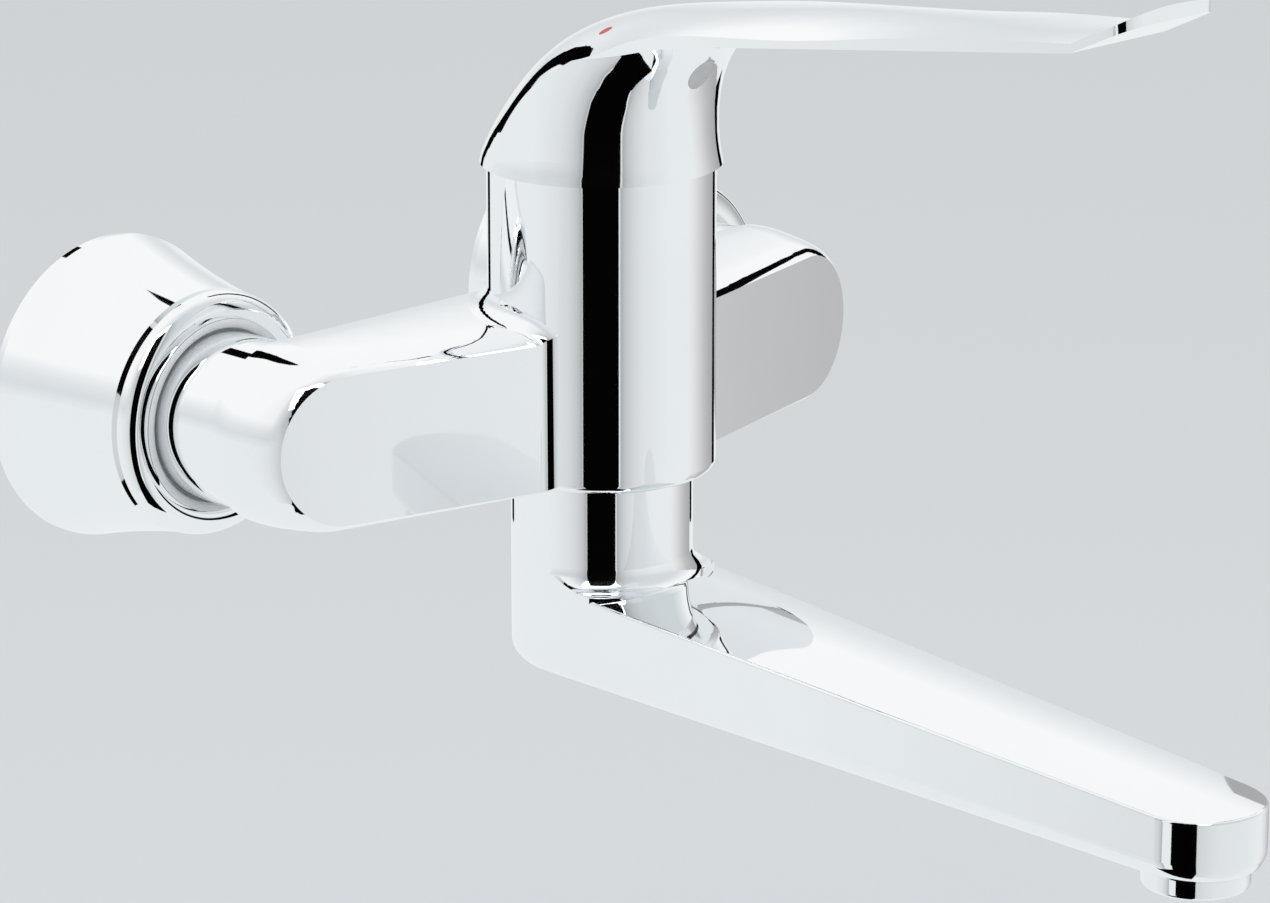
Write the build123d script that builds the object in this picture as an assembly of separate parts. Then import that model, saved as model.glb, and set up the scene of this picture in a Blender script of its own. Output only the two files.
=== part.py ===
from build123d import *
import math
import os

os.makedirs("parts", exist_ok=True)

# Frame: X runs along the wall to the right, Y into the wall, Z up.
# Pieces are drawn about the body's upright axis, with inlets at height zero,
# and moved out from the wall by axis_out when they are written.

# Wall and inlets
inlet_centres = 150.0
axis_out = 85.0
water_r = 8.5

# Clearances
over = 2.0
seat_gap = 0.1
turn_gap = 0.3
shaft_gap = 0.06
thread_gap = 0.05

# Body casting
column_r = 26.2
column_top = 54.6
column_bottom = -17.7
rim_round = 2.2
arm_front_mid = -14.2
arm_front_end = 4.4
arm_back = 27.4
arm_front_r = 17.14
arm_back_r = 20.9
arm_depth_shares = (0.0, 0.08, 0.25, 0.55, 1.0, 1.35)
arm_rise_shares = (0.0, 0.34, 0.66, 0.90, 1.0, 1.04)
blend_r = 4.5
cavity_r = 23.3
cavity_floor = 20.0
feed_r = 5.5
feed_end_z = 12.0
feed_start_y = 14.5

# Cartridge
base_thick = 4.0
disc_thick = 4.0
fixed_disc_r = 19.8
moving_disc_r = 15.0
port_r = 4.0
port_x = 8.0
port_y = 4.0
outlet_port_r = 4.5
outlet_port_y = -9.0
seal_wire_r = 1.1
housing_wall = 2.3
housing_shoulder = 50.0
housing_top = 53.5
housing_neck_wall = 2.2
housing_lid = 2.5
rotor_neck_r = 14.6
rotor_top = 54.4
rotor_bottom = 37.5
carrier_thick = 4.8
pivot_z = 44.0
pivot_pin_r = 2.0
pivot_pin_length = 34.0
lift_degrees = 25.0
stem_side = 8.0
stem_boss_r = 6.0
stem_boss_width = 13.0
stem_top = 79.5
finger_z = 35.3
finger_ball_r = 2.8
finger_rod_r = 2.2
finger_play = 0.35
limiter_thick = 2.0
limiter_wall = 3.6
limiter_teeth = 24
limiter_tooth = 0.7
clamp_ring_wall = 2.2
clamp_ring_bottom = 50.0
clamp_ring_top = 57.0
clamp_notches = 6
clamp_notch = 3.2

# Lever: hood over the cartridge, blade, upturned tip
hood_rim_z = 54.1
hood_rim_r = 27.7
hood_front_r = 26.8
hood_side_r = 26.4
hood_flare_r = 28.0
hood_flare_shares = (0.0, 0.2, 0.4, 0.6, 0.75, 0.88, 1.0)
hood_hollow_r = 28.5
hood_wall = 2.2
hood_roof = 3.0
fan_y = -30.0
crown_angle = (0, 15, 32, 50, 67, 90)
crown_reach = (57.8, 51.7, 46.7, 43.0, 40.4, 40.2)
crown_r = (28.2, 30.3, 34.4, 36.9, 40.8, 62.9)
crown_half = 27.8
crown_steps = 8
blade_shares = (0.4, 0.667, 1.0, 1.133)
blade_crest_z = (98.4, 102.2, 106.9, 108.8)
blade_crest_r = (76.0, 88.0, 100.0, 104.0)
root_y = -8.0
root_half = 23.0
root_under_z = 81.5
neck_y = -20.0
neck_half = 24.8
shoulder_y = -31.5
shoulder_half = 25.6
shoulder_under_z = 87.0
under_blend = 25.5
blade_end_half = 15.5
blade_under_z = 85.2
blade_slope = 7.0
blade_length = 150.0
tip_length = 15.0
tip_end_half = 14.3
tip_slope = 25.0
tip_corner_r = 4.5
socket_boss_r = 8.5
socket_boss_bottom = 62.0
grub_z = 75.5
grub_r = 3.0
grub_length = 7.0
plug_z = 78.7
plug_r = 3.25
plug_thick = 3.0
mark_r = 1.5
mark_x = 15.5
mark_y = -16.7
mark_depth = 0.8

# Spout
pipe_r = 21.0
bush_thick = 0.8
bush_wall = 5.4
stub_r = 15.0
stub_top = -1.6
stub_bore_r = 9.0
ring_groove_depth = 2.75
ring_wire_r = 1.3
ring_z = (-4.6, -14.6)
lock_z = -9.6
lock_r = 2.5
lock_length = 10.0
lock_groove = 1.4
spout_reach = 177.0
spout_tip_r = 15.0
spout_crest_z = -39.8
spout_crest_slope = 4.8
spout_crest_r = 100.0
spout_under_z = -64.0
spout_under_slope = 2.05
spout_flare_r = 5.0
spout_under_round = 5.0
spout_top_round = 0.7
channel_start_z = -52.5
channel_end_z = -62.2
channel_start_height = 16.0
channel_end_height = 8.0
spout_wall = 4.0

# Aerator
aerator_thread_r = 10.95
aerator_top = -61.0
aerator_seat_z = -69.7
aerator_ring_r = 11.73
aerator_ring_height = 4.6
aerator_ring_round = 1.0
aerator_spot_r = 12.3
aerator_bore_r = 9.0
insert_height = 8.0
insert_recess = 1.4
insert_hole_r = 0.75
insert_rows = 2
insert_row_holes = 6
washer_thick = 1.4

# Inlet unions
nipple_r = 10.4
nipple_bore_r = 8.0
nipple_depth = 13.0
nipple_flange_r = 12.6
nipple_flange_thick = 3.0
nut_flats = 30.0
nut_length = 18.0
nut_lip = 2.5
nut_gap = 0.5
union_thread_r = 13.2
union_front_length = 13.0
union_offset = 8.0
union_mid_length = 14.0
union_shoulder_r = 12.0
wall_thread_r = 10.48
wall_thread_length = 20.0
washer_bore_r = 8.2
cover_r = 19.5
cover_wall = 1.2
cover_length = 31.0

# Rosettes
rosette_ring_y = 50.0
rosette_ring_out = 28.2
rosette_ring_bulge = 4.0
rosette_groove = 0.9
rosette_flange_r = 35.2
rosette_flange_thick = 1.6
rosette_wall = 1.6
rosette_waist_r = 31.2
rosette_waist_y = 68.0


def rod(x, y, z0, z1, r):
    """Upright cylinder between two heights."""
    return Pos(x, y, (z0 + z1) / 2) * Cylinder(r, z1 - z0)


def along_y(x, z, y0, y1, r):
    """Cylinder that runs into the wall between two depths."""
    return Pos(x, (y0 + y1) / 2, z) * Rot(90, 0, 0) * Cylinder(r, y1 - y0)


def between(a, b, r):
    """Round bar from point a to point b."""
    run = Vector(*b) - Vector(*a)
    return extrude(Plane(origin=a, z_dir=run) * Circle(r), run.length)


def turned(points):
    """Solid of revolution about Z of an outline in (radius, height)."""
    return revolve(Plane.XZ * make_face(Polyline(*points, close=True)), Axis.Z)


def side_prism(points, half):
    """Prism across X of an outline in (Y, Z)."""
    return extrude(Plane.YZ * make_face(Polyline(*points, close=True)), half, both=True)


def write(piece, name):
    """Write one piece, moved out from the wall."""
    export_step(Pos(0, -axis_out, 0) * piece, f"parts/{name}.step")


# Body casting: both arms, the column, the cartridge cavity and the waterways
def arm_section(share, rise):
    """Half-stadium across one arm, on an upright plane between its front and back."""
    mid_y = arm_front_mid + share * (arm_back - arm_front_mid)
    end_y = arm_front_end + share * (arm_back - arm_front_end)
    half = inlet_centres / 2
    r = arm_front_r + rise * (arm_back_r - arm_front_r)
    length = math.hypot(half, end_y - mid_y)
    rise_y = end_y - mid_y
    plane = Plane(origin=(0, mid_y, 0), x_dir=(half, rise_y, 0), z_dir=(rise_y, -half, 0))
    outline = [
        Line((0, -r), (length, -r)),
        ThreePointArc((length, -r), (length + r, 0), (length, r)),
        Line((length, r), (0, r)),
        Line((0, r), (0, -r)),
    ]
    return plane * make_face(outline)


right_arm = loft([arm_section(s, r) for s, r in zip(arm_depth_shares, arm_rise_shares)])
column = rod(0, 0, column_bottom - over, column_top, column_r)
body = right_arm + mirror(right_arm, about=Plane.YZ) + column


def on_column(edge):
    """True for the edges where the arms' tops and fronts meet the column."""
    places = [edge @ 0, edge @ 0.5, edge @ 1]
    near = all(abs(math.hypot(p.X, p.Y) - column_r) < seat_gap for p in places)
    return near and all(p.Z < arm_back_r + over for p in places) and places[1].Z > seat_gap - arm_front_r


# The arms run on behind the back face, so that the blend has room, and are faced off there
body = fillet([e for e in body.edges() if on_column(e)], blend_r)
face_off = 2 * inlet_centres
body -= Pos(0, arm_back + face_off / 2, 0) * Box(face_off, face_off, face_off)

rim_low = column_bottom - 2 * over
rim_cut = [
    Line((0, column_bottom), (column_r - rim_round, column_bottom)),
    TangentArc((column_r - rim_round, column_bottom), (column_r, column_bottom + rim_round), tangent=(1, 0)),
    Line((column_r, column_bottom + rim_round), (column_r, rim_low)),
    Line((column_r, rim_low), (0, rim_low)),
    Line((0, rim_low), (0, column_bottom)),
]
body -= revolve(Plane.XZ * make_face(rim_cut), Axis.Z)
body -= rod(0, 0, cavity_floor, column_top + over, cavity_r)
body -= rod(0, 0, column_bottom - over, stub_top + turn_gap, stub_r + shaft_gap)
body -= rod(0, outlet_port_y, stub_top - over, cavity_floor + over, outlet_port_r)
body -= along_y(0, lock_z, 0, arm_back + over, lock_r + thread_gap)
for side in (-1, 1):
    inlet_x = side * inlet_centres / 2
    body -= along_y(inlet_x, 0, arm_back - nipple_depth - over, arm_back + over, nipple_r + thread_gap)
    body -= between((inlet_x, feed_start_y, 0), (side * port_x, port_y, feed_end_z), feed_r)
    body -= rod(side * port_x, port_y, feed_end_z, cavity_floor + over, port_r)
write(body, "body_casting")

# Cartridge base with its three ports and their seals
base_top = cavity_floor + base_thick
ports = [(-port_x, port_y, port_r), (port_x, port_y, port_r), (0, outlet_port_y, outlet_port_r)]
cartridge_r = cavity_r - turn_gap
cartridge_base = rod(0, 0, cavity_floor + seat_gap, base_top, cartridge_r)
port_seals = []
for x, y, r in ports:
    cartridge_base -= rod(x, y, cavity_floor - over, base_top + over, r)
    groove_r = r + 3 * seal_wire_r
    cartridge_base -= rod(x, y, cavity_floor - over, cavity_floor + 2 * seal_wire_r + seat_gap, groove_r)
    port_seals.append(Pos(x, y, cavity_floor + seal_wire_r) * Torus(r + 1.5 * seal_wire_r, seal_wire_r))
write(cartridge_base, "cartridge_base")
write(Compound(children=port_seals), "port_seals")

# Ceramic discs: one fixed to the base, one pushed and turned by the lever
fixed_disc_top = base_top + disc_thick
fixed_disc = rod(0, 0, base_top, fixed_disc_top, fixed_disc_r)
for x, y, r in ports:
    fixed_disc -= rod(x, y, base_top - over, fixed_disc_top + over, r)
write(fixed_disc, "fixed_ceramic_disc")

finger_arm = pivot_z - finger_z
disc_travel = finger_arm * math.sin(math.radians(lift_degrees))
disc_y = disc_travel / 2
moving_disc_top = fixed_disc_top + seat_gap + disc_thick
moving_disc = rod(0, disc_y, fixed_disc_top + seat_gap, moving_disc_top, moving_disc_r)
hollow_top = fixed_disc_top + disc_thick / 2
mixing_hollow = rod(0, disc_y, fixed_disc_top - over, hollow_top, moving_disc_r - port_r)
write(moving_disc - mixing_hollow, "moving_ceramic_disc")

carrier_top = moving_disc_top + carrier_thick
carrier = rod(0, disc_y, moving_disc_top, carrier_top, moving_disc_r)
slot_half = finger_ball_r + finger_play
slot = Box(2 * slot_half, 2 * slot_half, carrier_thick + over)
slot = Pos(0, 0, (moving_disc_top + carrier_top) / 2) * slot
write(carrier - slot, "disc_carrier")

# Cartridge housing, open above for the rotor's neck
housing_in = cartridge_r - housing_wall
neck_out = housing_in + seat_gap
housing = turned([
    (housing_in, base_top),
    (cartridge_r, base_top),
    (cartridge_r, housing_shoulder),
    (neck_out, housing_shoulder),
    (neck_out, housing_top),
    (rotor_neck_r + turn_gap, housing_top),
    (rotor_neck_r + turn_gap, housing_top - housing_lid),
    (housing_in - housing_neck_wall, housing_top - housing_lid),
    (housing_in - housing_neck_wall, housing_shoulder - over),
    (housing_in, housing_shoulder - over),
])
write(housing, "cartridge_housing")

# Rotor: turns with the lever and carries the pivot pin
rotor_r = housing_in - turn_gap
rotor_shoulder = housing_shoulder - over - turn_gap
rotor = rod(0, 0, rotor_bottom, rotor_shoulder, rotor_r)
rotor_neck_top = housing_top - housing_lid - turn_gap
rotor += rod(0, 0, rotor_bottom, rotor_neck_top, housing_in - housing_neck_wall - turn_gap)
rotor += rod(0, 0, rotor_bottom, rotor_top, rotor_neck_r)
swing_back = (rotor_top - pivot_z) * math.tan(math.radians(lift_degrees)) + stem_side / 2 + turn_gap
swing_back += (rotor_top - pivot_z) * (1 - math.cos(math.radians(lift_degrees))) / 2
swing_front = stem_boss_r + over
swing_height = rotor_top - rotor_bottom + over
swing = Box(stem_boss_width + 2 * turn_gap, swing_back + swing_front, swing_height)
rotor -= Pos(0, (swing_back - swing_front) / 2, (rotor_top + rotor_bottom) / 2) * swing
pin_hole = Pos(0, 0, pivot_z) * Rot(0, 90, 0) * Cylinder(pivot_pin_r + shaft_gap, pivot_pin_length + turn_gap)
write(rotor - pin_hole, "cartridge_rotor")
pin = Pos(0, 0, pivot_z) * Rot(0, 90, 0) * Cylinder(pivot_pin_r, pivot_pin_length)
write(pin, "pivot_pin")

# Stem: square above for the lever, round boss at the pivot, ball finger below
stem = Pos(0, 0, (pivot_z + stem_top) / 2) * Box(stem_side, stem_side, stem_top - pivot_z)
stem += Pos(0, 0, pivot_z) * Rot(0, 90, 0) * Cylinder(stem_boss_r, stem_boss_width)
stem += rod(0, 0, finger_z, pivot_z, finger_rod_r)
stem += Pos(0, 0, finger_z) * Sphere(finger_ball_r)
write(stem - pin_hole, "lever_stem")

# Temperature limiter ring, toothed outside, on the housing
limiter_out = rotor_neck_r + turn_gap + limiter_wall
limiter = rod(0, 0, housing_top, housing_top + limiter_thick, limiter_out)
limiter -= rod(0, 0, housing_top - over, housing_top + limiter_thick + over, rotor_neck_r + turn_gap)
tooth_at = PolarLocations(limiter_out, limiter_teeth)
tooth = Pos(0, 0, housing_top + limiter_thick / 2) * Cylinder(limiter_tooth, limiter_thick + over)
for place in tooth_at:
    limiter -= place * tooth
write(limiter, "temperature_limiter")

# Clamp ring, screwed into the mouth of the body over the housing's shoulder
clamp_out = cavity_r - thread_gap
clamp_ring = rod(0, 0, clamp_ring_bottom, clamp_ring_top, clamp_out)
clamp_ring -= rod(0, 0, clamp_ring_bottom - over, clamp_ring_top + over, clamp_out - clamp_ring_wall)
notch = Pos(0, 0, clamp_ring_top) * Box(clamp_notch, clamp_notch * 2, clamp_notch)
for place in PolarLocations(clamp_out, clamp_notches):
    clamp_ring -= place * notch
write(clamp_ring, "clamp_ring")


# Lever: one crowned skin runs over the hood and along the blade
def under_crown(depth):
    """Everything in front of and under the crowned skin, drawn in by a depth."""
    spans = [crown_half * (2 * step / crown_steps - 1) for step in range(crown_steps + 1)]
    grid = []
    for angle, reach, r in zip(crown_angle, crown_reach, crown_r):
        a = math.radians(angle)
        row = [(x, reach - depth - r + math.sqrt(r ** 2 - x ** 2)) for x in spans]
        grid.append([(x, fan_y + d * math.cos(a), hood_rim_z + d * math.sin(a)) for x, d in row])
    for share, z, r in zip(blade_shares, blade_crest_z, blade_crest_r):
        grid.append([(x, -share * blade_length, z - depth - r + math.sqrt(r ** 2 - x ** 2)) for x in spans])
    skin_face = Face.make_surface_from_array_of_points(grid)
    return extrude(skin_face, blade_shares[-1] * blade_length, dir=(0, -1, -1))


tip_angle = math.radians(tip_slope)
tip_rise = tip_length * math.tan(tip_angle)
tip_along = Vector(0, -math.cos(tip_angle), math.sin(tip_angle))
tip_down = Vector(0, -math.sin(tip_angle), -math.cos(tip_angle))
fold = Vector(0, -blade_length, blade_crest_z[2])
tip_axis = fold + tip_down * blade_crest_r[2]
tip_run = tip_along * tip_length
under_tip = between(tip_axis - tip_run, tip_axis + tip_run * 3, blade_crest_r[2])
skin = under_crown(0) + under_tip

# The blade's sides swell out of the hood to a shoulder, then taper to the tip
taper_run = Vector(blade_end_half - shoulder_half, -blade_length - shoulder_y)
sweep = [(root_half, root_y), (neck_half, neck_y), (shoulder_half, shoulder_y)]
tip_end = (tip_end_half, -blade_length - tip_length)
right_side = [
    Spline(*sweep, tangents=[Vector(neck_half - root_half, neck_y - root_y), taper_run]),
    Polyline(sweep[2], (blade_end_half, -blade_length), tip_end),
]
left_side = [mirror(line, about=Plane.YZ) for line in right_side]
ends = [Line((-root_half, root_y), (root_half, root_y)), Line((-tip_end_half, tip_end[1]), tip_end)]
taper = make_face([*right_side, *left_side, *ends])
tip_corners = taper.vertices().group_by(Axis.Y)[0]
taper = fillet(tip_corners, tip_corner_r)
hood_top_z = blade_crest_z[2] + tip_rise + over
taper_prism = Pos(0, 0, root_under_z - over) * extrude(taper, hood_top_z - root_under_z + over)

slope = math.tan(math.radians(blade_slope))
blend_y = shoulder_y - under_blend
blend_point = (blend_y, blade_under_z - slope * blend_y)
end_y = -blade_length - tip_length - over
tip_steep = tip_rise / tip_length
slab_outline = [
    Line((root_y, root_under_z), (shoulder_y, shoulder_under_z)),
    TangentArc(blend_point, (shoulder_y, shoulder_under_z), tangent=(1, -slope)),
    Polyline(
        blend_point,
        (-blade_length, blade_under_z + slope * blade_length),
        (end_y, blade_under_z + slope * blade_length + tip_rise + over * tip_steep),
        (end_y, hood_top_z),
        (root_y, hood_top_z),
        (root_y, root_under_z),
    ),
]
blade_slab = extrude(Plane.YZ * make_face(slab_outline), crown_half, both=True)

# The hood is round at its rim and oval above, and its front sweeps out into the blade's underside
flare_x = hood_front_r + hood_flare_r
flare_z = blade_under_z + slope * flare_x - hood_flare_r / math.cos(math.radians(blade_slope))
hood_sections = [(hood_rim_z, hood_rim_r, hood_rim_r)]
mid_side, mid_front = [(hood_rim_r + 3 * r) / 4 for r in (hood_side_r, hood_front_r)]
hood_sections.append(((hood_rim_z + flare_z) / 2, mid_side, mid_front))
for share in hood_flare_shares:
    a = math.radians(share * (90 - blade_slope))
    front = flare_x - hood_flare_r * math.cos(a)
    hood_sections.append((flare_z + hood_flare_r * math.sin(a), hood_side_r, front))
ovals = [Plane.XY.offset(z) * Ellipse(front, side, rotation=90) for z, side, front in hood_sections]
hood_column = loft(ovals)
lever_outer = (hood_column + (blade_slab & taper_prism)) & skin

# Inside, a ball-shaped hollow clears the body as the lever tilts, with a well above it
hood_in = hood_side_r - hood_wall
well = rod(0, 0, flare_z - hood_wall, hood_top_z, hood_in) & under_crown(hood_roof)
hood_hollow = Pos(0, 0, pivot_z) * Sphere(hood_hollow_r) + well
socket_boss = rod(0, 0, socket_boss_bottom, hood_top_z, socket_boss_r) & skin
socket_side = stem_side + 2 * thread_gap
socket_top = stem_top + turn_gap
socket_height = socket_top - socket_boss_bottom + over
socket = Pos(0, 0, socket_top - socket_height / 2) * Box(socket_side, socket_side, socket_height)
hood_front = flare_x - math.sqrt(hood_flare_r ** 2 - (plug_z - flare_z) ** 2)
plug_point = Vector(0, -hood_front, plug_z)
grub_line = (plug_point - Vector(0, -stem_side / 2, grub_z)).normalized()
bore_run = grub_line * hood_front
grub_bore = between(plug_point - bore_run, plug_point + bore_run, plug_r + thread_gap)
lever = lever_outer - hood_hollow + socket_boss - socket - grub_bore
marks = {}
for name, side in (("hot_mark", -1), ("cold_mark", 1)):
    mark_bar = rod(side * mark_x, mark_y, flare_z, hood_top_z, mark_r)
    marks[name] = (mark_bar & skin) - (mark_bar & Pos(0, 0, -mark_depth) * skin)
    lever -= marks[name]
    write(marks[name], name)
write(lever, "lever")

# Grub screw and the plug over it, on a line that slants down to the stem
grub_tip = Vector(0, -stem_side / 2 - thread_gap, grub_z) + grub_line * grub_r * grub_line.Z
write(between(grub_tip, grub_tip + grub_line * grub_length, grub_r), "lever_grub_screw")
plug_bar = between(plug_point - grub_line * plug_thick, plug_point + grub_line * plug_thick, plug_r)
write(plug_bar & lever_outer, "lever_plug")

# Spout: pipe and stub above, tapered arm with a crowned top and rounded foot
bush_bottom = column_bottom - bush_thick
pipe_top = bush_bottom - seat_gap
crest_slope = math.tan(math.radians(spout_crest_slope))
under_slope = math.tan(math.radians(spout_under_slope))
taper_angle = math.asin((pipe_r - spout_tip_r) / spout_reach)
side_x, side_y = math.cos(taper_angle), -math.sin(taper_angle)
spout_plan = [
    ThreePointArc((-pipe_r * side_x, pipe_r * side_y), (0, pipe_r), (pipe_r * side_x, pipe_r * side_y)),
    Line((pipe_r * side_x, pipe_r * side_y), (spout_tip_r * side_x, spout_tip_r * side_y - spout_reach)),
    ThreePointArc(
        (spout_tip_r * side_x, spout_tip_r * side_y - spout_reach),
        (0, -spout_reach - spout_tip_r),
        (-spout_tip_r * side_x, spout_tip_r * side_y - spout_reach),
    ),
    Line((-spout_tip_r * side_x, spout_tip_r * side_y - spout_reach), (-pipe_r * side_x, pipe_r * side_y)),
]
spout_low = spout_under_z - under_slope * (spout_reach + pipe_r) - over
spout_prism = Pos(0, 0, spout_low) * extrude(make_face(spout_plan), pipe_top - spout_low)
crest_start = (0, pipe_r, spout_crest_z + crest_slope * pipe_r - spout_crest_r)
crest_run = spout_reach + 2 * pipe_r
crest_end = (0, pipe_r - crest_run, crest_start[2] - crest_slope * crest_run)
crest_round = between(crest_start, crest_end, spout_crest_r)
flare_low = spout_crest_z - crest_slope * (pipe_r + spout_flare_r)
pipe_outline = [
    Line((0, pipe_top), (pipe_r, pipe_top)),
    Line((pipe_r, pipe_top), (pipe_r, flare_low + spout_flare_r)),
    TangentArc((pipe_r, flare_low + spout_flare_r), (pipe_r + spout_flare_r, flare_low), tangent=(0, -1)),
    Line((pipe_r + spout_flare_r, flare_low), (pipe_r + spout_flare_r, spout_low)),
    Line((pipe_r + spout_flare_r, spout_low), (0, spout_low)),
    Line((0, spout_low), (0, pipe_top)),
]
pipe_solid = revolve(Plane.XZ * make_face(pipe_outline), Axis.Z)
above_foot = side_prism([
    (pipe_r + over, spout_under_z + under_slope * (pipe_r + over)),
    (-spout_reach - 2 * pipe_r, spout_under_z - under_slope * (spout_reach + 2 * pipe_r)),
    (-spout_reach - 2 * pipe_r, pipe_top),
    (pipe_r + over, pipe_top),
], 2 * pipe_r)
foot_block = spout_prism & above_foot
foot = foot_block.faces().sort_by(Axis.Z)[0]
foot_block = fillet(foot.edges(), spout_under_round)
arm_bar = foot_block & crest_round
arm_bar = fillet(arm_bar.faces().sort_by(Axis.Z)[-1].edges(), spout_top_round)
spout = arm_bar + (foot_block & pipe_solid)
spout += rod(0, 0, pipe_top - over, stub_top, stub_r)
channel_plan = [(0, channel_start_z, pipe_r, channel_start_height)]
channel_plan.append((-spout_reach, channel_end_z, spout_tip_r, channel_end_height))
channel_ends = []
for y, z, r, height in channel_plan:
    plane = Plane(origin=(0, y, z), x_dir=(1, 0, 0), z_dir=(0, -1, 0))
    channel_ends.append(plane * RectangleRounded(2 * (r - spout_wall), height, height / 3))
spout -= loft(channel_ends)
spout -= rod(0, 0, channel_start_z - channel_start_height / 2, stub_top + over, stub_bore_r)
chamber_top = aerator_top + washer_thick + seat_gap
spout -= rod(0, -spout_reach, spout_low, chamber_top, aerator_thread_r + thread_gap)
spout -= rod(0, -spout_reach, spout_low, aerator_seat_z, aerator_spot_r)
rings = []
for z in ring_z:
    band = rod(0, 0, z - ring_wire_r - seat_gap, z + ring_wire_r + seat_gap, stub_r + over)
    spout -= band - rod(0, 0, z - over, z + over, stub_r - ring_groove_depth)
    rings.append(Pos(0, 0, z) * Torus(stub_r - ring_wire_r, ring_wire_r))
lock_band = rod(0, 0, lock_z - lock_r - turn_gap, lock_z + lock_r + turn_gap, stub_r + over)
spout -= lock_band - rod(0, 0, lock_z - 2 * lock_r, lock_z + 2 * lock_r, stub_r - lock_groove)
write(spout, "spout")
write(Compound(children=rings), "spout_o_rings")

bush = rod(0, 0, bush_bottom, column_bottom, stub_r + shaft_gap + bush_wall)
bush -= rod(0, 0, bush_bottom - over, column_bottom + over, stub_r + shaft_gap)
write(bush, "spout_bush")
lock_start = stub_r - lock_groove + turn_gap
lock_screw = along_y(0, lock_z, lock_start, lock_start + lock_length, lock_r)
hex_socket = extrude(Plane.XZ * RegularPolygon(lock_r / 2, 6), -2 * lock_r)
write(lock_screw - Pos(0, lock_start + lock_length - lock_r, lock_z) * hex_socket, "spout_lock_screw")

# Aerator: threaded ring, insert with its holes, washer above
aerator_bottom = aerator_seat_z - aerator_ring_height
ring_edge = aerator_ring_r - aerator_ring_round
aerator_outline = [
    Line((aerator_bore_r, aerator_top), (aerator_thread_r, aerator_top)),
    Line((aerator_thread_r, aerator_top), (aerator_thread_r, aerator_seat_z)),
    Line((aerator_thread_r, aerator_seat_z), (aerator_ring_r, aerator_seat_z)),
    Line((aerator_ring_r, aerator_seat_z), (aerator_ring_r, aerator_bottom + aerator_ring_round)),
    TangentArc(
        (aerator_ring_r, aerator_bottom + aerator_ring_round), (ring_edge, aerator_bottom), tangent=(0, -1)
    ),
    Line((ring_edge, aerator_bottom), (aerator_bore_r, aerator_bottom)),
    Line((aerator_bore_r, aerator_bottom), (aerator_bore_r, aerator_top)),
]
aerator_ring = revolve(Plane.XZ * make_face(aerator_outline), Axis.Z)
write(Pos(0, -spout_reach, 0) * aerator_ring, "aerator_ring")
insert_bottom = aerator_bottom + insert_recess
insert = rod(0, 0, insert_bottom, insert_bottom + insert_height, aerator_bore_r - thread_gap)
for row in range(insert_rows):
    ring_radius = aerator_bore_r * (row + 1) / (insert_rows + 1)
    for place in PolarLocations(ring_radius, insert_row_holes * (row + 1)):
        insert -= place * rod(0, 0, insert_bottom - over, insert_bottom + insert_height + over, insert_hole_r)
write(Pos(0, -spout_reach, 0) * insert, "aerator_insert")
washer = rod(0, 0, aerator_top, aerator_top + washer_thick, aerator_thread_r - thread_gap)
washer -= rod(0, 0, aerator_top - over, aerator_top + washer_thick + over, aerator_bore_r)
write(Pos(0, -spout_reach, 0) * washer, "aerator_washer")

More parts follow.
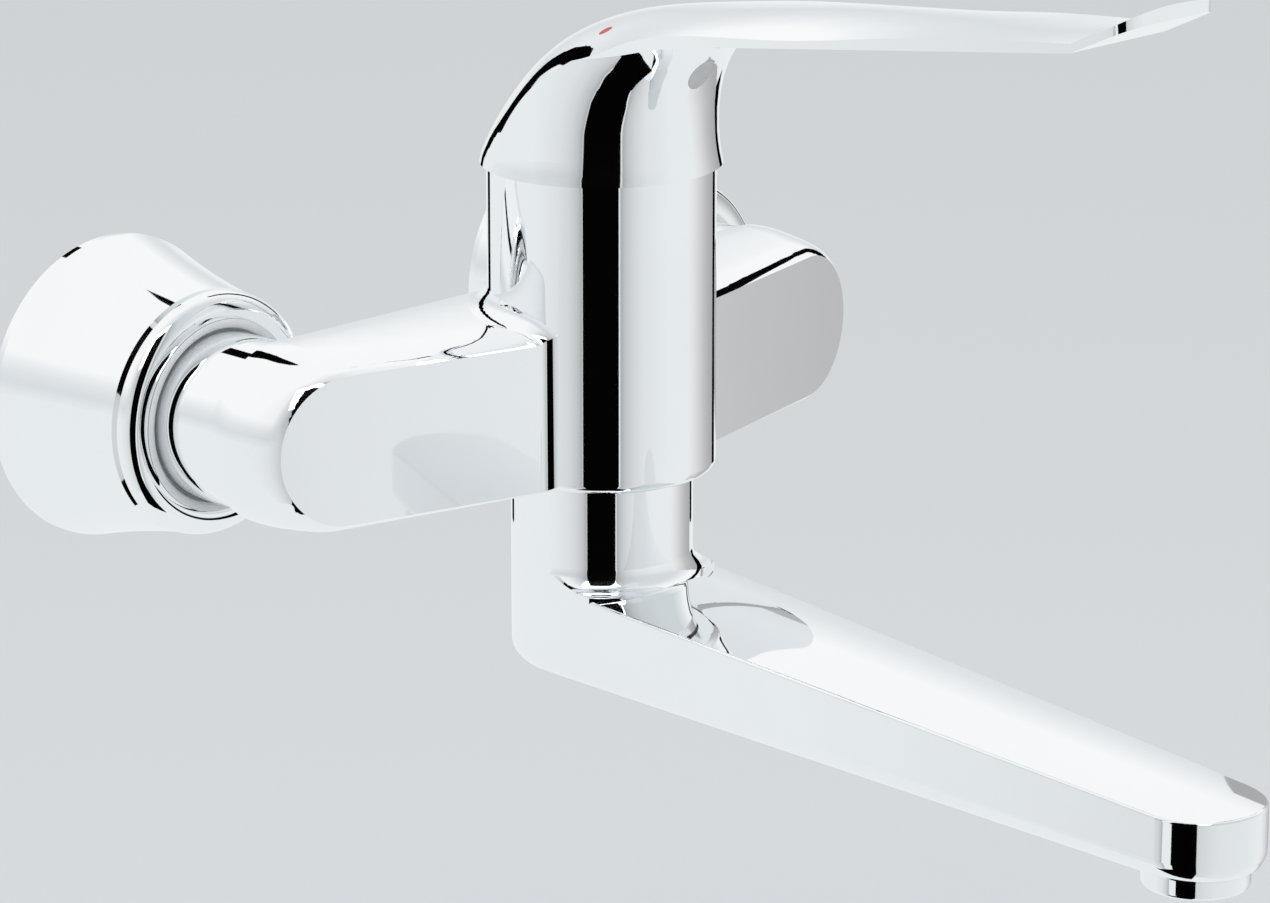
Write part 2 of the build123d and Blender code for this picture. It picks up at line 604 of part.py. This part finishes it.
# Unions: nipple in the arm, captive nut, washer, offset union, cover and rosette
flange_y = arm_back + nut_gap + nut_lip + seat_gap
washer_y = flange_y + nipple_flange_thick
union_y = washer_y + washer_thick
offset_y = union_y + union_front_length
wall_start_y = offset_y + union_mid_length
for word, side in (("left", -1), ("right", 1)):
    x = side * inlet_centres / 2
    nipple = along_y(x, 0, arm_back - nipple_depth, flange_y + nipple_flange_thick, nipple_r)
    nipple += along_y(x, 0, flange_y, washer_y, nipple_flange_r)
    nipple -= along_y(x, 0, arm_back - 2 * nipple_depth, washer_y + over, nipple_bore_r)
    write(nipple, f"inlet_nipple_{word}")

    nut_y = arm_back + nut_gap
    hexagon = RegularPolygon(nut_flats / 2, 6, major_radius=False)
    nut = Pos(x, nut_y, 0) * extrude(Plane.XZ * hexagon, -nut_length)
    nut -= along_y(x, 0, nut_y - over, nut_y + nut_length + over, nipple_r + turn_gap)
    nut -= along_y(x, 0, nut_y + nut_lip, nut_y + nut_length + over, union_thread_r + thread_gap)
    write(nut, f"union_nut_{word}")

    seal = along_y(x, 0, washer_y, union_y, nipple_flange_r)
    seal -= along_y(x, 0, washer_y - over, union_y + over, washer_bore_r)
    write(seal, f"inlet_washer_{word}")

    front = along_y(x, 0, union_y, offset_y, union_thread_r)
    wall_end_y = axis_out + wall_thread_length
    rear = along_y(x, -union_offset, wall_start_y, axis_out, union_shoulder_r)
    rear += along_y(x, -union_offset, axis_out, wall_end_y, wall_thread_r)
    middle = loft([
        Plane(origin=(x, offset_y, 0), z_dir=(0, 1, 0)) * Circle(union_thread_r),
        Plane(origin=(x, wall_start_y, -union_offset), z_dir=(0, 1, 0)) * Circle(union_shoulder_r),
    ])
    union = front + middle + rear
    union -= along_y(x, 0, union_y - over, offset_y, water_r)
    union -= loft([
        Plane(origin=(x, offset_y, 0), z_dir=(0, 1, 0)) * Circle(water_r),
        Plane(origin=(x, wall_start_y, -union_offset), z_dir=(0, 1, 0)) * Circle(water_r),
    ])
    union -= along_y(x, -union_offset, wall_start_y, wall_end_y + over, water_r)
    write(union, f"offset_union_{word}")

    cover = along_y(x, 0, arm_back, arm_back + cover_length, cover_r)
    cover -= along_y(x, 0, arm_back - over, arm_back + cover_length + over, cover_r - cover_wall)
    write(cover, f"union_cover_{word}")

    hole_r = cover_r + shaft_gap
    ring_mid = (hole_r + rosette_ring_out) / 2
    groove_r = rosette_ring_out - rosette_groove
    groove_end = rosette_ring_y + 2 * rosette_groove
    flange_front = axis_out - rosette_flange_thick
    inner_y = rosette_ring_y + rosette_wall
    bead_in, bead_top = (hole_r, rosette_ring_y), (ring_mid, rosette_ring_y - rosette_ring_bulge)
    bead_out, groove = (rosette_ring_out, rosette_ring_y), (groove_r, rosette_ring_y + rosette_groove)
    cone_top, cone_waist = (rosette_ring_out, groove_end), (rosette_waist_r, rosette_waist_y)
    flange_in, flange_low = (rosette_flange_r, flange_front), (rosette_flange_r, axis_out)
    hem = (rosette_flange_r - rosette_wall, axis_out)
    inside_waist = (rosette_waist_r - rosette_wall, rosette_waist_y)
    inside_top = (groove_r - rosette_wall, groove_end + rosette_wall)
    inside_step = (groove_r - 2 * rosette_wall, inner_y)
    rosette_outline = [
        Line((hole_r, inner_y), bead_in),
        ThreePointArc(bead_in, bead_top, bead_out),
        Polyline(bead_out, groove, cone_top),
        ThreePointArc(cone_top, cone_waist, flange_in),
        Polyline(flange_in, flange_low, hem),
        ThreePointArc(hem, inside_waist, inside_top),
        Polyline(inside_top, inside_step, (hole_r, inner_y)),
    ]
    rosette = revolve(Plane.XY * make_face(rosette_outline), Axis.Y)
    write(Pos(x, 0, 0) * rosette, f"rosette_{word}")
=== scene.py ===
import math

import bpy
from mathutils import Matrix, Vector


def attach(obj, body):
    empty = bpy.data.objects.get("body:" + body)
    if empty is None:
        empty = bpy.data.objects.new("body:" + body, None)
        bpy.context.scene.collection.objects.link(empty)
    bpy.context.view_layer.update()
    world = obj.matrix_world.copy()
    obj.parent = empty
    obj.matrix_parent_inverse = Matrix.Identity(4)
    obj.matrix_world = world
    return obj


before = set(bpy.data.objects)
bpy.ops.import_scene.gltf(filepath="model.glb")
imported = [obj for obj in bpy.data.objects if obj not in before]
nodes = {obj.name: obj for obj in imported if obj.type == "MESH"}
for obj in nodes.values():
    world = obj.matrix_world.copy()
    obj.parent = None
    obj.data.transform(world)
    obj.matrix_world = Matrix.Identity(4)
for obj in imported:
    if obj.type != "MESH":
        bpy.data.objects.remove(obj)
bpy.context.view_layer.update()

# The camera stands in front of the tap, to its left and a little above it.
# A long lens keeps the arms and the spout nearly parallel, as in the photograph.
camera_place = Vector((-0.9054, -0.9795, 0.3522))
camera_azimuth = 45.69
camera_elevation = 16.08
camera_lens = 163.17
bpy.ops.object.camera_add(
    location=camera_place,
    rotation=(math.radians(90 - camera_elevation), 0, math.radians(-camera_azimuth)),
)
camera = bpy.context.object
camera.data.lens = camera_lens
camera.data.sensor_width = 36
bpy.context.scene.camera = camera
bpy.context.scene.view_settings.view_transform = "Standard"


# Body casting: one brass casting, an upright column with two flattened arms.
# It is polished and plated with bright chrome over nickel, which mirrors the
# room and keeps only the faint swell that polishing by hand leaves.
def from_hex(code):
    """Linear colour, with alpha, of an sRGB hex value."""
    channels = [int(code[i:i + 2], 16) / 255 for i in (1, 3, 5)]
    return [c / 12.92 if c <= 0.04045 else ((c + 0.055) / 1.055) ** 2.4 for c in channels] + [1.0]


def add_node(owner, kind, settings, inputs):
    """Adds one node to a material or the sky, with its settings, and its inputs set or linked."""
    node = owner.node_tree.nodes.new(kind)
    for name, value in settings.items():
        setattr(node, name, value)
    for name, value in inputs.items():
        if isinstance(value, bpy.types.NodeSocket):
            owner.node_tree.links.new(value, node.inputs[name])
        else:
            node.inputs[name].default_value = value
    return node


def new_finish(name):
    """An empty material and its shader."""
    material = bpy.data.materials.new(name)
    material.use_nodes = True
    return material, material.node_tree.nodes["Principled BSDF"]


def coat_with(material, *names):
    """Gives CAD nodes a finish."""
    for name in names:
        nodes[name].data.materials.clear()
        nodes[name].data.materials.append(material)


def bright_chrome(name, swell_mm=9.0, swell_depth_mm=0.004):
    """Decorative chrome plate: a cool mirror, with a soft swell from polishing and a faint bloom."""
    material, shader = new_finish(name)
    links = material.node_tree.links
    bloom_mm = 35
    place = add_node(material, "ShaderNodeTexCoord", {}, {})
    bloom = add_node(material, "ShaderNodeTexNoise", {}, {
        "Vector": place.outputs["Object"], "Scale": 1000 / bloom_mm, "Detail": 3.0, "Roughness": 0.55})
    tint = add_node(material, "ShaderNodeMix", {"data_type": "RGBA"}, {
        "Factor": bloom.outputs["Fac"], 6: from_hex("#F7F9FA"), 7: from_hex("#F3F5F7")})
    links.new(tint.outputs[2], shader.inputs["Base Color"])
    haze = add_node(material, "ShaderNodeMapRange", {}, {
        "Value": bloom.outputs["Fac"], "From Min": 0.3, "From Max": 0.7, "To Min": 0.02, "To Max": 0.05})
    links.new(haze.outputs["Result"], shader.inputs["Roughness"])
    swell = add_node(material, "ShaderNodeTexNoise", {}, {
        "Vector": place.outputs["Object"], "Scale": 1000 / swell_mm, "Detail": 1.0, "Roughness": 0.4})
    relief = add_node(material, "ShaderNodeBump", {}, {
        "Height": swell.outputs["Fac"], "Distance": swell_depth_mm / 1000, "Strength": 1.0})
    links.new(relief.outputs["Normal"], shader.inputs["Normal"])
    shader.inputs["Metallic"].default_value = 1.0
    return material


chrome_on_brass = bright_chrome("chrome_on_cast_brass")
coat_with(chrome_on_brass, "body_casting")

# Lever: a zinc die casting, chromed like the body. Its hood hides the
# cartridge, and its long blade can be pushed with an elbow.
chrome_on_zinc = bright_chrome("chrome_on_zinc", swell_mm=12.0)
coat_with(chrome_on_zinc, "lever")


# Colour marks: dots of enamel paint in shallow recesses, red for hot on the
# left and blue for cold on the right, baked hard, with a soft gloss.
def baked_enamel(name, colour, deep):
    """Baked paint with a soft gloss, a little darker where it lies thicker."""
    material, shader = new_finish(name)
    pool_mm = 1.2
    place = add_node(material, "ShaderNodeTexCoord", {}, {})
    depth = add_node(material, "ShaderNodeTexNoise", {}, {
        "Vector": place.outputs["Object"], "Scale": 1000 / pool_mm, "Detail": 2.0})
    tint = add_node(material, "ShaderNodeMix", {"data_type": "RGBA"}, {
        "Factor": depth.outputs["Fac"], 6: from_hex(colour), 7: from_hex(deep)})
    material.node_tree.links.new(tint.outputs[2], shader.inputs["Base Color"])
    shader.inputs["Roughness"].default_value = 0.3
    shader.inputs["Specular IOR Level"].default_value = 0.25
    return material


coat_with(baked_enamel("red_enamel", "#C2384A", "#A32C3C"), "hot_mark")
coat_with(baked_enamel("blue_enamel", "#2F62B8", "#234C93"), "cold_mark")


# Plug over the grub screw: a small moulded disc of light grey acetal, satin,
# with the fine grain of its mould.
def moulded_plastic(name, colour, shade, roughness=0.45, grain_mm=0.25):
    """Moulded acetal or rubber, lapped alumina, or satin seals painted pale as a stand-in
    for reflection: even in colour and satin, with a fine grain, drawn coarser than life so that it
    shows."""
    material, shader = new_finish(name)
    links = material.node_tree.links
    cloud_mm, grain_depth_mm, satin_spread = 6, 0.03, 0.08
    place = add_node(material, "ShaderNodeTexCoord", {}, {})
    cloud = add_node(material, "ShaderNodeTexNoise", {}, {
        "Vector": place.outputs["Object"], "Scale": 1000 / cloud_mm, "Detail": 4.0})
    tint = add_node(material, "ShaderNodeMix", {"data_type": "RGBA"}, {
        "Factor": cloud.outputs["Fac"], 6: from_hex(colour), 7: from_hex(shade)})
    links.new(tint.outputs[2], shader.inputs["Base Color"])
    satin = add_node(material, "ShaderNodeMapRange", {}, {
        "Value": cloud.outputs["Fac"],
        "To Min": roughness - satin_spread, "To Max": roughness + satin_spread})
    links.new(satin.outputs["Result"], shader.inputs["Roughness"])
    grain = add_node(material, "ShaderNodeTexNoise", {}, {
        "Vector": place.outputs["Object"], "Scale": 1000 / grain_mm, "Detail": 2.0})
    relief = add_node(material, "ShaderNodeBump", {}, {
        "Height": grain.outputs["Fac"], "Distance": grain_depth_mm / 1000, "Strength": 0.6})
    links.new(relief.outputs["Normal"], shader.inputs["Normal"])
    return material


coat_with(moulded_plastic("light_acetal", "#CBCCCD", "#C0C2C3"), "lever_plug")


# Grub screw, pivot pin and lock screw: turned from stainless steel bar, with
# the fine marks that the tool leaves.
def turned_metal(name, colour, shade, roughness, mark_mm=0.4):
    """Bar stock turned on a lathe: bright, with a duller bloom and fine tool marks, drawn
    coarser than life so that they show."""
    material, shader = new_finish(name)
    links = material.node_tree.links
    bloom_mm, mark_depth_mm = 8, 0.01
    brightest, dullest = roughness - 0.08, roughness + 0.1
    place = add_node(material, "ShaderNodeTexCoord", {}, {})
    bloom = add_node(material, "ShaderNodeTexNoise", {}, {
        "Vector": place.outputs["Object"], "Scale": 1000 / bloom_mm, "Detail": 4.0})
    tint = add_node(material, "ShaderNodeMix", {"data_type": "RGBA"}, {
        "Factor": bloom.outputs["Fac"], 6: from_hex(colour), 7: from_hex(shade)})
    links.new(tint.outputs[2], shader.inputs["Base Color"])
    dull = add_node(material, "ShaderNodeMapRange", {}, {
        "Value": bloom.outputs["Fac"], "To Min": brightest, "To Max": dullest})
    links.new(dull.outputs["Result"], shader.inputs["Roughness"])
    marks = add_node(material, "ShaderNodeTexNoise", {}, {
        "Vector": place.outputs["Object"], "Scale": 1000 / mark_mm, "Detail": 1.0})
    relief = add_node(material, "ShaderNodeBump", {}, {
        "Height": marks.outputs["Fac"], "Distance": mark_depth_mm / 1000, "Strength": 0.5})
    links.new(relief.outputs["Normal"], shader.inputs["Normal"])
    shader.inputs["Metallic"].default_value = 1.0
    return material


stainless_steel = turned_metal("stainless_steel", "#C9CBCC", "#B4B6B8", 0.25)
coat_with(stainless_steel, "lever_grub_screw", "pivot_pin", "spout_lock_screw")

# Stem, clamp ring and inlet unions: turned and milled from brass bar. They
# are hidden, so they are left unplated and have dulled a little.
bare_brass = turned_metal("bare_brass", "#DCC48E", "#CBAE72", 0.3)
coat_with(bare_brass, "lever_stem", "clamp_ring")
for side in ("left", "right"):
    coat_with(bare_brass, f"inlet_nipple_{side}", f"union_nut_{side}", f"offset_union_{side}")

# Cartridge: moulded acetal housing, base, rotor and disc carrier round two
# lapped discs of white alumina. The limiter is a toothed ring of red acetal.
black_acetal = moulded_plastic("black_acetal", "#26282A", "#1B1D1F")
coat_with(black_acetal, "cartridge_base", "disc_carrier")
grey_acetal = moulded_plastic("grey_acetal", "#9A9E9F", "#85898A")
coat_with(grey_acetal, "cartridge_housing", "cartridge_rotor")
coat_with(moulded_plastic("red_acetal", "#B4332C", "#982822"), "temperature_limiter")
white_alumina = moulded_plastic("white_alumina", "#F1EFEA", "#E6E3DC", 0.2)
coat_with(white_alumina, "fixed_ceramic_disc", "moving_ceramic_disc")

# Seals: black EPDM rubber, moulded, with a soft dull sheen. O-rings on the
# spout's stub, three port seals under the cartridge, and flat washers.
black_rubber = moulded_plastic("epdm_rubber", "#1A1A1B", "#111112", 0.6)
coat_with(black_rubber, "spout_o_rings", "port_seals", "aerator_washer")
for side in ("left", "right"):
    coat_with(black_rubber, f"inlet_washer_{side}")

# Spout: a hollow brass casting, polished and chromed, with a rounded foot and
# a gently crowned top. It turns on a bush of black acetal, which shows as a
# dark line under the body.
coat_with(chrome_on_brass, "spout")
coat_with(black_acetal, "spout_bush")

# Aerator: a turned and chromed ring screwed under the spout's tip, which
# holds a moulded insert with small holes.
chrome_trim = bright_chrome("chrome_on_turned_brass", swell_mm=15.0, swell_depth_mm=0.002)
coat_with(chrome_trim, "aerator_ring")
coat_with(grey_acetal, "aerator_insert")

# Union covers and rosettes: chromed brass tube and spun brass cones that
# slide over the unions and cover the holes in the tiles.
for side in ("left", "right"):
    coat_with(chrome_trim, f"union_cover_{side}", f"rosette_{side}")

# Rosette seals: moulded satin rings that fill the hollow behind each rosette's
# rolled edge and leave a fine groove round the union cover. Their pale grey is
# painted reflection, the soft white of the chrome bead. The profile gives each
# corner's radius and its place along the inlet's axis.
inlet_half_spacing = 0.075
seal_segments = 128
seal_crease_degrees = 40
seal_profile_mm = [
    (19.53, -34.90), (20.10, -36.97), (21.00, -38.02), (22.20, -38.73), (21.60, -38.90),
    (20.80, -38.84), (20.25, -38.60), (20.00, -38.20), (19.95, -37.00), (19.53, -36.90)]
# The seals' pale grey is painted: it stands in for the soft white that the chrome bead mirrors.
seal_painted_reflection = moulded_plastic("seal_painted_reflection", "#E3E6E8", "#D9DDDF", 0.35)
for side, centre_x in (("left", -inlet_half_spacing), ("right", inlet_half_spacing)):
    start_radius, start_y = seal_profile_mm[0]
    bpy.ops.object.select_all(action="DESELECT")
    bpy.ops.mesh.primitive_circle_add(
        vertices=seal_segments, radius=start_radius / 1000,
        location=(centre_x, start_y / 1000, 0), rotation=(math.radians(90), 0, 0))
    seal = bpy.context.object
    seal.name = f"rosette_seal_{side}"
    bpy.ops.object.transform_apply(location=True, rotation=True, scale=True)
    bpy.ops.object.mode_set(mode="EDIT")
    bpy.ops.mesh.select_all(action="SELECT")
    for (radius, y), (next_radius, next_y) in zip(seal_profile_mm, seal_profile_mm[1:]):
        growth = next_radius / radius
        bpy.ops.mesh.extrude_region()
        bpy.ops.transform.translate(value=(0, (next_y - y) / 1000, 0))
        bpy.ops.transform.resize(
            value=(growth, 1, growth), center_override=(centre_x, next_y / 1000, 0))
    bpy.ops.mesh.select_all(action="DESELECT")
    bpy.ops.mesh.select_non_manifold()
    bpy.ops.mesh.bridge_edge_loops()
    bpy.ops.mesh.select_all(action="SELECT")
    bpy.ops.mesh.normals_make_consistent(inside=False)
    bpy.ops.object.mode_set(mode="OBJECT")
    bpy.ops.object.shade_smooth_by_angle(angle=math.radians(seal_crease_degrees))
    seal.data.materials.append(seal_painted_reflection)
    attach(seal, "mixer_body")

# Floor: matt pale paint, well under the tap. Mirrors see it as an even near
# white, and in the camera's view it keeps the tap's soft shadow.
floor_z = -0.30
floor_size = 24.0
mirrored_floor = "#EFF2F3"
bpy.ops.mesh.primitive_plane_add(size=floor_size, location=(0, 0, floor_z))
floor = bpy.context.object
floor.name = "studio_floor"
floor_paint, floor_shader = new_finish("floor_paint")
floor_shader.inputs["Base Color"].default_value = from_hex("#D4D8DA")
floor_shader.inputs["Roughness"].default_value = 0.9
floor_shader.inputs["Specular IOR Level"].default_value = 0.0
floor_path = add_node(floor_paint, "ShaderNodeLightPath", {}, {})
floor_glow = add_node(floor_paint, "ShaderNodeEmission", {}, {
    "Color": from_hex(mirrored_floor), "Strength": 1.0})
floor_mix = add_node(floor_paint, "ShaderNodeMixShader", {}, {
    "Fac": floor_path.outputs["Is Glossy Ray"],
    1: floor_shader.outputs["BSDF"], 2: floor_glow.outputs["Emission"]})
floor_paint.node_tree.links.new(
    floor_mix.outputs["Shader"], floor_paint.node_tree.nodes["Material Output"].inputs["Surface"])
floor.data.materials.append(floor_paint)


# Cards: painted boards that only mirrors see. They draw the dark bands, the
# grey that falls off to the right and the thin dark outlines in the chrome.
# A bearing is in degrees round the column, with 0 straight in front.
column_y = -0.085
camera_bearing = -camera_azimuth


def set_ramp(ramp, stops):
    """Gives a ramp node its stops of (share, linear colour)."""
    elements = ramp.color_ramp.elements
    while len(elements) < len(stops):
        elements.new(0.5)
    for element, (share, colour) in zip(elements, stops):
        element.position = share
        element.color = colour


def card_paint(name, greys, see_through=False):
    """Paint, or smoked film, that runs across a card through (share, linear grey)."""
    material = bpy.data.materials.new(name)
    material.use_nodes = True
    tree = material.node_tree
    tree.nodes.remove(tree.nodes["Principled BSDF"])
    place = add_node(material, "ShaderNodeTexCoord", {}, {})
    across = add_node(material, "ShaderNodeSeparateXYZ", {}, {"Vector": place.outputs["UV"]})
    ramp = add_node(material, "ShaderNodeValToRGB", {}, {"Fac": across.outputs["X"]})
    set_ramp(ramp, [(share, (grey, grey, grey, 1)) for share, grey in greys])
    kind = "ShaderNodeBsdfTransparent" if see_through else "ShaderNodeEmission"
    surface = add_node(material, kind, {}, {"Color": ramp.outputs["Color"]})
    tree.links.new(surface.outputs[0], tree.nodes["Material Output"].inputs["Surface"])
    return material


def show_to_mirrors(card, name, paint):
    """Names and paints a card, and hides it from all but reflections."""
    card.name = name
    card.data.materials.append(paint)
    card.visible_camera = False
    card.visible_diffuse = False
    card.visible_shadow = False
    card.visible_transmission = False


def from_column(bearing, distance, z):
    """The place at a bearing round the column's axis and a distance from it."""
    angle = math.radians(bearing)
    return Vector((math.sin(angle) * distance, column_y - math.cos(angle) * distance, z))


def stand_card(name, bearing, distance, width, top, paint):
    """A card that stands on the floor and faces the column."""
    bpy.ops.mesh.primitive_plane_add(
        size=1, location=from_column(bearing, distance, (floor_z + top) / 2),
        rotation=(math.radians(90), 0, math.radians(bearing)))
    card = bpy.context.object
    card.scale = (width, top - floor_z, 1)
    show_to_mirrors(card, name, paint)


black_paint = card_paint("black_card", [(0.0, 0.001), (1.0, 0.001)])

front_card_bearing = camera_bearing - 0.5
front_card_distance = 0.345
front_card_width = 0.215
front_card_top = 0.6
stand_card(
    "front_card", front_card_bearing, front_card_distance, front_card_width, front_card_top, black_paint)

foot_length = 0.21
foot_above_floor = 0.001
foot_distance = front_card_distance - foot_length / 2
bpy.ops.mesh.primitive_plane_add(
    size=1, location=from_column(camera_bearing, foot_distance, floor_z + foot_above_floor),
    rotation=(0, 0, math.radians(camera_bearing)))
bpy.context.object.scale = (front_card_width, foot_length, 1)
show_to_mirrors(bpy.context.object, "front_card_foot", black_paint)

behind_tap = camera_bearing + 180
back_card_turn = 28
back_card_distance = 0.9
back_card_width = 0.16
for side, turn, top in (("left", -back_card_turn, 1.4), ("right", back_card_turn, 1.2)):
    stand_card(
        f"back_card_{side}", behind_tap + turn, back_card_distance, back_card_width, top, black_paint)

side_card_place = (0.36, -0.205, -0.105)
side_card_width, side_card_height = 0.35, 0.39
side_paint = card_paint("side_card", [
    (0.0, 0.88), (0.25, 0.78), (0.45, 0.66), (0.6, 0.56), (0.8, 0.47), (1.0, 0.42)])
bpy.ops.mesh.primitive_plane_add(
    size=1, location=side_card_place, rotation=(math.radians(90), 0, math.radians(90)))
bpy.context.object.scale = (side_card_width, side_card_height, 1)
show_to_mirrors(bpy.context.object, "side_card", side_paint)

# Halo screen: smoked film, clear in the middle, which softens the chrome on
# both sides of the front card's dark band. It starts as a flat sheet, one
# metre square, and is bent round the column.
screen_radius = 0.245
screen_arc = 132
screen_steps = 48
halo_film = card_paint("halo_screen", [
    (0.0, 1.0), (0.08, 0.96), (0.19, 0.90), (0.27, 0.80), (0.33, 0.66), (0.36, 0.5), (0.37, 1.0),
    (0.63, 1.0), (0.64, 0.5), (0.67, 0.66), (0.73, 0.80), (0.81, 0.92), (0.92, 0.96), (1.0, 1.0)],
    see_through=True)
bpy.ops.mesh.primitive_grid_add(x_subdivisions=screen_steps, y_subdivisions=1, size=1)
screen = bpy.context.object
for corner in screen.data.vertices:
    bearing = camera_bearing + screen_arc * corner.co.x
    z = front_card_top if corner.co.y > 0 else floor_z
    corner.co = from_column(bearing, screen_radius, z)
show_to_mirrors(screen, "halo_screen", halo_film)

# Sky: matt surfaces see an even white. Mirrors see pale grey in front and
# near the horizon, and white high up behind the tap, as from a large soft box.
world = bpy.data.worlds.new("studio_sky")
world.use_nodes = True
bpy.context.scene.world = world
plain_sky = world.node_tree.nodes["Background"]
plain_sky.inputs["Color"].default_value = from_hex("#FFFFFF")
plain_sky.inputs["Strength"].default_value = 0.9
toward = add_node(world, "ShaderNodeTexCoord", {}, {})
height = add_node(world, "ShaderNodeSeparateXYZ", {}, {"Vector": toward.outputs["Generated"]})
back_sky = add_node(world, "ShaderNodeValToRGB", {}, {"Fac": height.outputs["Z"]})
set_ramp(back_sky, [
    (0.0, from_hex("#EBEEF0")), (0.12, from_hex("#DFE3E5")),
    (0.24, from_hex("#E8EBED")), (0.42, from_hex("#FFFFFF"))])
front_sky = add_node(world, "ShaderNodeValToRGB", {}, {"Fac": height.outputs["Z"]})
set_ramp(front_sky, [(0.0, from_hex(mirrored_floor)), (0.4, from_hex("#DCE0E2"))])
backness = add_node(world, "ShaderNodeMapRange", {}, {
    "Value": height.outputs["Y"], "From Min": -0.45, "From Max": 0.0})
sky_tint = add_node(world, "ShaderNodeMix", {"data_type": "RGBA"}, {
    "Factor": backness.outputs["Result"], 6: front_sky.outputs["Color"], 7: back_sky.outputs["Color"]})
mirror_sky = add_node(world, "ShaderNodeBackground", {}, {
    "Color": sky_tint.outputs[2], "Strength": 1.0})
sky_path = add_node(world, "ShaderNodeLightPath", {}, {})
sky_mix = add_node(world, "ShaderNodeMixShader", {}, {
    "Fac": sky_path.outputs["Is Glossy Ray"],
    1: plain_sky.outputs["Background"], 2: mirror_sky.outputs["Background"]})
world.node_tree.links.new(
    sky_mix.outputs["Shader"], world.node_tree.nodes["World Output"].inputs["Surface"])

# Key light: one large soft lamp, high on the camera's side of the tap and
# turned to the column. It shapes the matt parts, which the sky lights evenly.
key_place = (-0.9, -0.9, 1.6)
key_watts = 12
key_size = 1.2
bpy.ops.object.light_add(type="AREA", location=key_place)
key = bpy.context.object
key.name = "key_light"
key.data.energy = key_watts
key.data.size = key_size
key.rotation_euler = (Vector((0, column_y, 0)) - key.location).to_track_quat("-Z", "Y").to_euler()
